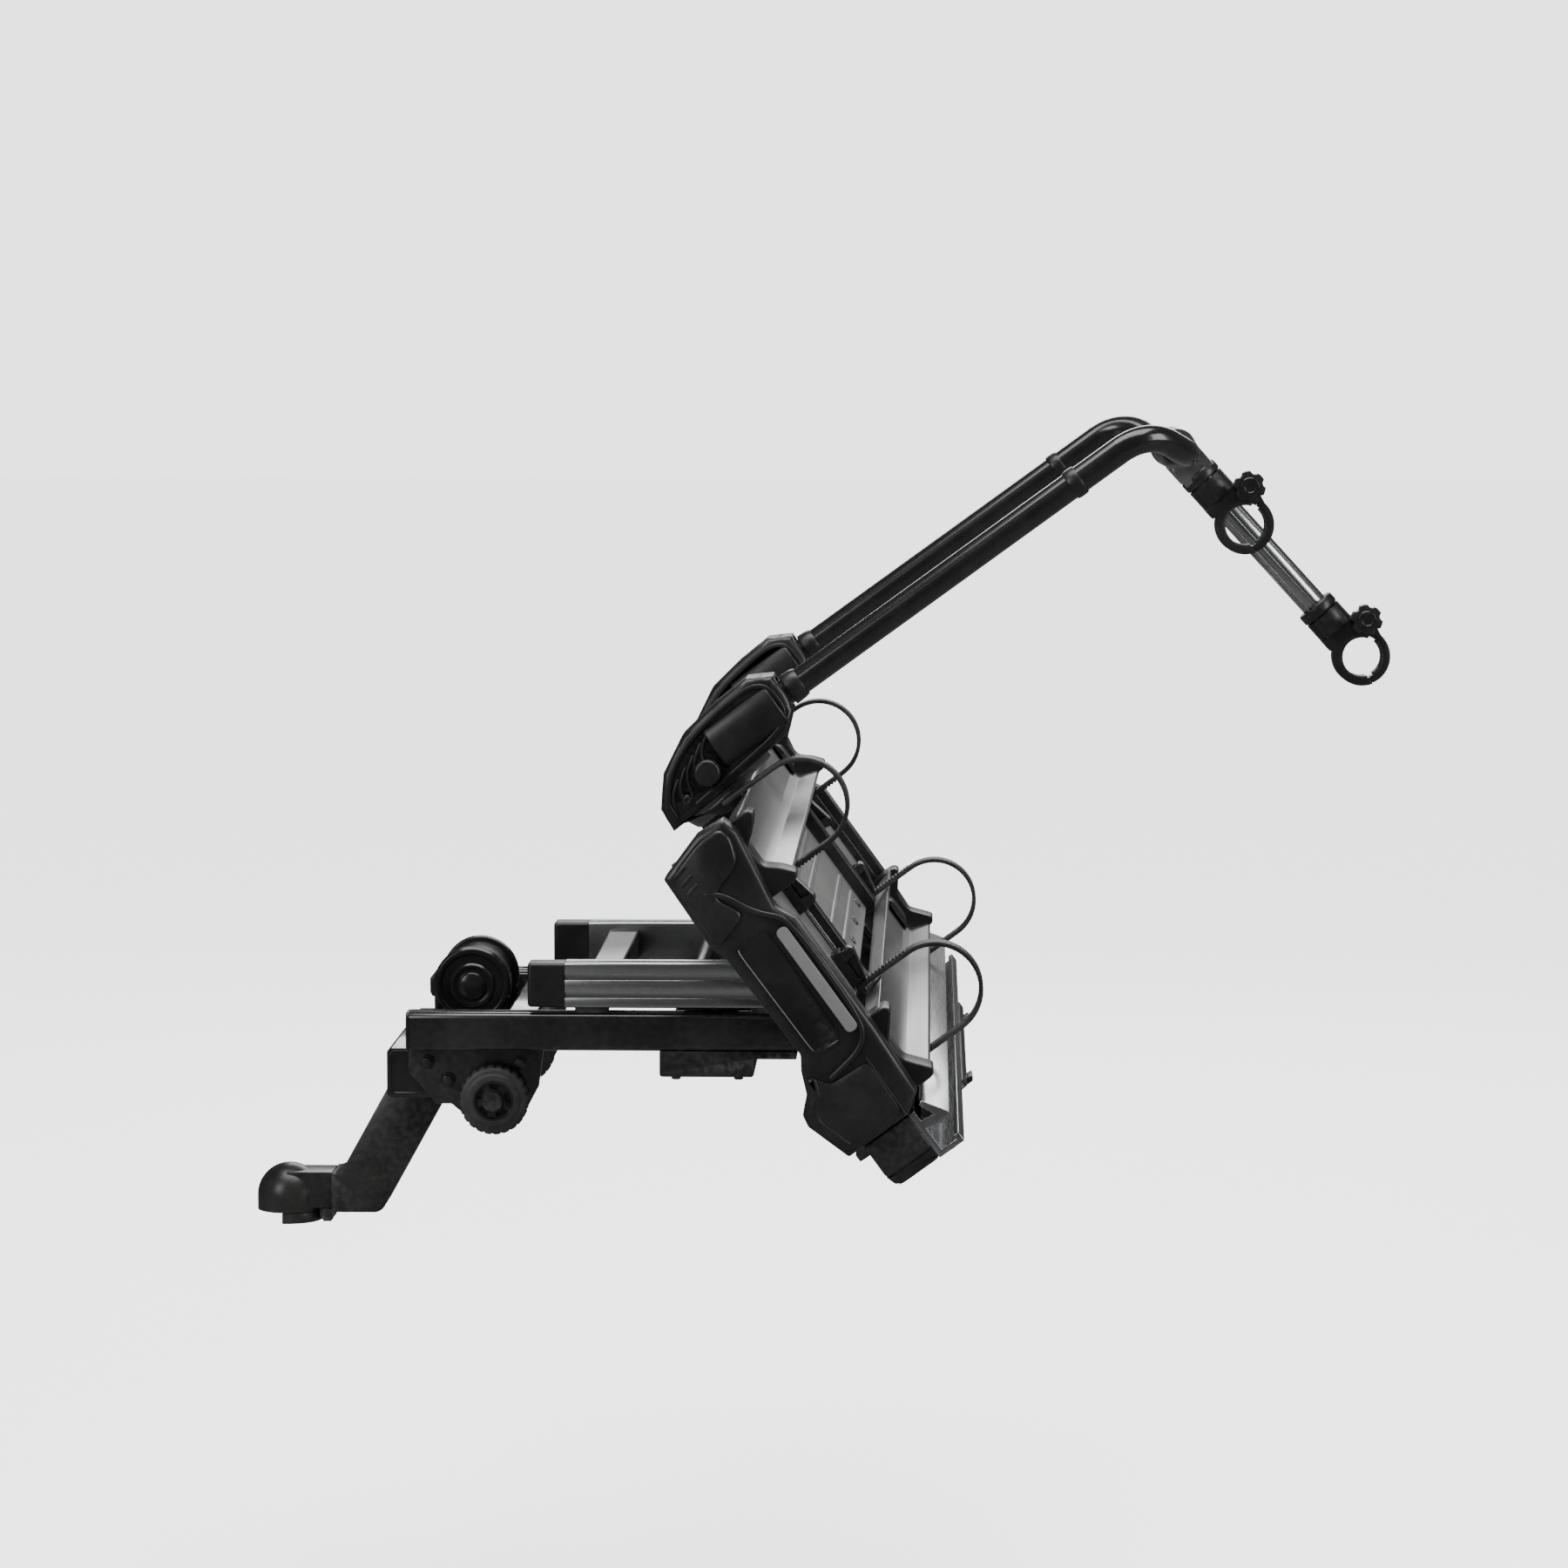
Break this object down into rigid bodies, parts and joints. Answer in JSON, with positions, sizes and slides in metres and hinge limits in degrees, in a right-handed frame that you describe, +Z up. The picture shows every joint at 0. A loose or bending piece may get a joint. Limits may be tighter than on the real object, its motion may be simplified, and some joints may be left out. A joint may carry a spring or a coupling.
{
  "type": "hitch bike rack",
  "caption": "Tow-ball bicycle carrier with a clamping coupling, a sliding and tilting deck of wheel trays, rear lamps, a folding upright frame and clamping arms.",
  "frame": {"origin": "centre of the tow ball in the coupling's cup", "axes": "+X away from the car, +Z up, Y across the car; left is -Y"},
  "size_m": [1.1054, 1.224, 0.7824],
  "materials": {
    "black_steel": "gloss black powder coat",
    "black_cast": "satin black paint on cast steel",
    "zinc_steel": "zinc plated",
    "silver_aluminium": "anodised, fine brushed",
    "tray_aluminium": "satin anodised",
    "black_plastic": "satin moulded, fine grain",
    "gloss_plastic": "semi gloss moulded",
    "panel_grey": "mid-grey satin",
    "strap_rubber": "matt flexible plastic",
    "tyre_rubber": "matt rubber",
    "lens_red": "clear red"
  },
  "bodies": {
    "hitch": {"coupling_head": "black_cast", "pivot_bolts": "zinc_steel", "gooseneck": "black_cast", "cross_beam": "black_steel", "side_plates": "black_steel", "base_rails": "black_steel", "base_rail_plugs": "black_plastic", "base_cross_members": "black_steel", "lock_housing": "black_steel", "lever_housing": "gloss_plastic"},
    "coupling_jaw": {"coupling_jaw": "black_cast"},
    "coupling_lever": {"coupling_lever": "gloss_plastic"},
    "clamp_rod": {"clamp_rod": "zinc_steel"},
    "slide_lock": {"slide_lock_plunger": "black_plastic"},
    "wheel_left": {"wheel_hub_left": "black_plastic", "wheel_tyre_left": "tyre_rubber"},
    "wheel_right": {"wheel_hub_right": "black_plastic", "wheel_tyre_right": "tyre_rubber"},
    "carriage": {"slide_rails": "silver_aluminium", "slide_rail_caps": "black_plastic", "slide_pads": "black_plastic", "carriage_frame": "zinc_steel"},
    "deck": {"hinge_pins": "zinc_steel", "deck_beams": "black_steel", "front_bar": "silver_aluminium", "wheel_tray_front": "tray_aluminium", "wheel_tray_rear": "tray_aluminium", "deck_panel": "panel_grey", "deck_bars": "black_plastic", "side_frames": "black_steel", "side_cover_left": "black_plastic", "side_cover_right": "black_plastic", "cover_insets": "panel_grey", "lamp_bar": "silver_aluminium", "lamp_housings": "black_plastic", "lamp_lenses": "lens_red", "plate_holder": "black_plastic", "wheel_straps": "strap_rubber", "ratchet_bases": "black_plastic", "pedal_bracket": "black_steel", "boot_left": "black_plastic", "boot_right": "black_plastic"},
    "tilt_pedal": {"tilt_pedal": "black_steel"},
    "upright": {"upright_frame": "black_steel"},
    "fold_knob_left": {"fold_knob_left": "black_plastic"},
    "fold_knob_right": {"fold_knob_right": "black_plastic"},
    "ratchet_lever_front_left": {"ratchet_lever_front_left": "black_plastic"},
    "ratchet_lever_front_right": {"ratchet_lever_front_right": "black_plastic"},
    "ratchet_lever_rear_left": {"ratchet_lever_rear_left": "black_plastic"},
    "ratchet_lever_rear_right": {"ratchet_lever_rear_right": "black_plastic"},
    "arm_long": {"arm_clamp_long": "silver_aluminium", "arm_tube_long": "silver_aluminium"},
    "arm_head_long": {"arm_head_long": "black_plastic"},
    "arm_jaw_long": {"arm_jaw_long": "black_plastic"},
    "arm_knob_long": {"arm_knob_long": "black_plastic"},
    "arm_short": {"arm_clamp_short": "silver_aluminium", "arm_tube_short": "silver_aluminium"},
    "arm_head_short": {"arm_head_short": "black_plastic"},
    "arm_jaw_short": {"arm_jaw_short": "black_plastic"},
    "arm_knob_short": {"arm_knob_short": "black_plastic"}
  },
  "joints": [
    {"name": "coupling_lever_pivot", "type": "hinge", "parent": "hitch", "child": "coupling_lever", "pos_m": [0.185, 0, 0.213], "axis": [0, 1, 0], "range_deg": [0, 80]},
    {"name": "coupling_jaw_pivot", "type": "hinge", "parent": "hitch", "child": "coupling_jaw", "pos_m": [0.038, 0, -0.017], "axis": [0, 1, 0], "range_deg": [-35, 0]},
    {"name": "clamp_rod_slide", "type": "slide", "parent": "hitch", "child": "clamp_rod", "axis": [0.4848, 0, 0.8746], "range_m": [0, 0.012]},
    {"name": "slide_lock_travel", "type": "slide", "parent": "hitch", "child": "slide_lock", "axis": [0, 0, 1], "range_m": [0, 0.01]},
    {"name": "wheel_left_spin", "type": "hinge", "parent": "hitch", "child": "wheel_left", "pos_m": [0.216, -0.16, 0.12], "axis": [0, 1, 0], "continuous": true},
    {"name": "wheel_right_spin", "type": "hinge", "parent": "hitch", "child": "wheel_right", "pos_m": [0.216, 0.16, 0.12], "axis": [0, 1, 0], "continuous": true},
    {"name": "carriage_slide", "type": "slide", "parent": "hitch", "child": "carriage", "axis": [1, 0, 0], "range_m": [-0.075, 0]},
    {"name": "deck_tilt", "type": "hinge", "parent": "carriage", "child": "deck", "pos_m": [0.52, 0, 0.215], "axis": [0, 1, 0], "range_deg": [-54, 0]},
    {"name": "ratchet_front_left_lift", "type": "hinge", "parent": "deck", "child": "ratchet_lever_front_left", "pos_m": [0.51851, -0.35, 0.33444], "axis": [0, 1, 0], "range_deg": [0, 75]},
    {"name": "ratchet_front_right_lift", "type": "hinge", "parent": "deck", "child": "ratchet_lever_front_right", "pos_m": [0.51851, 0.35, 0.33444], "axis": [0, 1, 0], "range_deg": [0, 75]},
    {"name": "ratchet_rear_left_lift", "type": "hinge", "parent": "deck", "child": "ratchet_lever_rear_left", "pos_m": [0.55378, -0.35, 0.2859], "axis": [0, 1, 0], "range_deg": [-75, 0]},
    {"name": "ratchet_rear_right_lift", "type": "hinge", "parent": "deck", "child": "ratchet_lever_rear_right", "pos_m": [0.55378, 0.35, 0.2859], "axis": [0, 1, 0], "range_deg": [-75, 0]},
    {"name": "pedal_press", "type": "hinge", "parent": "deck", "child": "tilt_pedal", "pos_m": [0.52282, 0, 0.26896], "axis": [0, 1, 0], "range_deg": [0, 6], "stiffness_Nm_per_rad": 8, "springref_deg": -8.59},
    {"name": "frame_fold", "type": "hinge", "parent": "deck", "child": "upright", "pos_m": [0.45734, 0, 0.48838], "axis": [0, 1, 0], "range_deg": [0, 85]},
    {"name": "fold_knob_left_pull", "type": "slide", "parent": "deck", "child": "fold_knob_left", "axis": [0, -1, 0], "range_m": [0, 0.008], "stiffness_N_per_m": 200},
    {"name": "fold_knob_right_pull", "type": "slide", "parent": "deck", "child": "fold_knob_right", "axis": [0, 1, 0], "range_m": [0, 0.008], "stiffness_N_per_m": 200},
    {"name": "arm_long_swing", "type": "hinge", "parent": "upright", "child": "arm_long", "pos_m": [0.85947, 0.045, 0.73111], "axis": [0, 1, 0], "range_deg": [-30, 22]},
    {"name": "arm_head_long_turn", "type": "hinge", "parent": "arm_long", "child": "arm_head_long", "pos_m": [1.01486, 0.045, 0.56153], "axis": [0.6756, 0, -0.7373], "range_deg": [-90, 90]},
    {"name": "arm_knob_long_turn", "type": "hinge", "parent": "arm_head_long", "child": "arm_knob_long", "pos_m": [1.04896, 0.045, 0.56429], "axis": [0, 1, 0], "range_deg": [0, 540]},
    {"name": "arm_jaw_long_hinge", "type": "hinge", "parent": "arm_head_long", "child": "arm_jaw_long", "pos_m": [1.04896, 0.045, 0.56429], "axis": [0, 1, 0], "range_deg": [-50, 0]},
    {"name": "arm_short_swing", "type": "hinge", "parent": "upright", "child": "arm_short", "pos_m": [0.85947, -0.045, 0.73111], "axis": [0, 1, 0], "range_deg": [-30, 22]},
    {"name": "arm_head_short_turn", "type": "hinge", "parent": "arm_short", "child": "arm_head_short", "pos_m": [0.89461, -0.045, 0.69277], "axis": [0.6756, 0, -0.7373], "range_deg": [-90, 90]},
    {"name": "arm_knob_short_turn", "type": "hinge", "parent": "arm_head_short", "child": "arm_knob_short", "pos_m": [0.9287, -0.045, 0.69553], "axis": [0, 1, 0], "range_deg": [0, 540]},
    {"name": "arm_jaw_short_hinge", "type": "hinge", "parent": "arm_head_short", "child": "arm_jaw_short", "pos_m": [0.9287, -0.045, 0.69553], "axis": [0, 1, 0], "range_deg": [-50, 0]}
  ],
  "couplings": [
    {"joint": "coupling_jaw_pivot", "follows": "coupling_lever_pivot", "ratio": -0.4},
    {"joint": "clamp_rod_slide", "follows": "coupling_lever_pivot", "m_per_rad": 0.008},
    {"joint": "arm_jaw_long_hinge", "follows": "arm_knob_long_turn", "ratio": -0.09},
    {"joint": "arm_jaw_short_hinge", "follows": "arm_knob_short_turn", "ratio": -0.09}
  ]
}
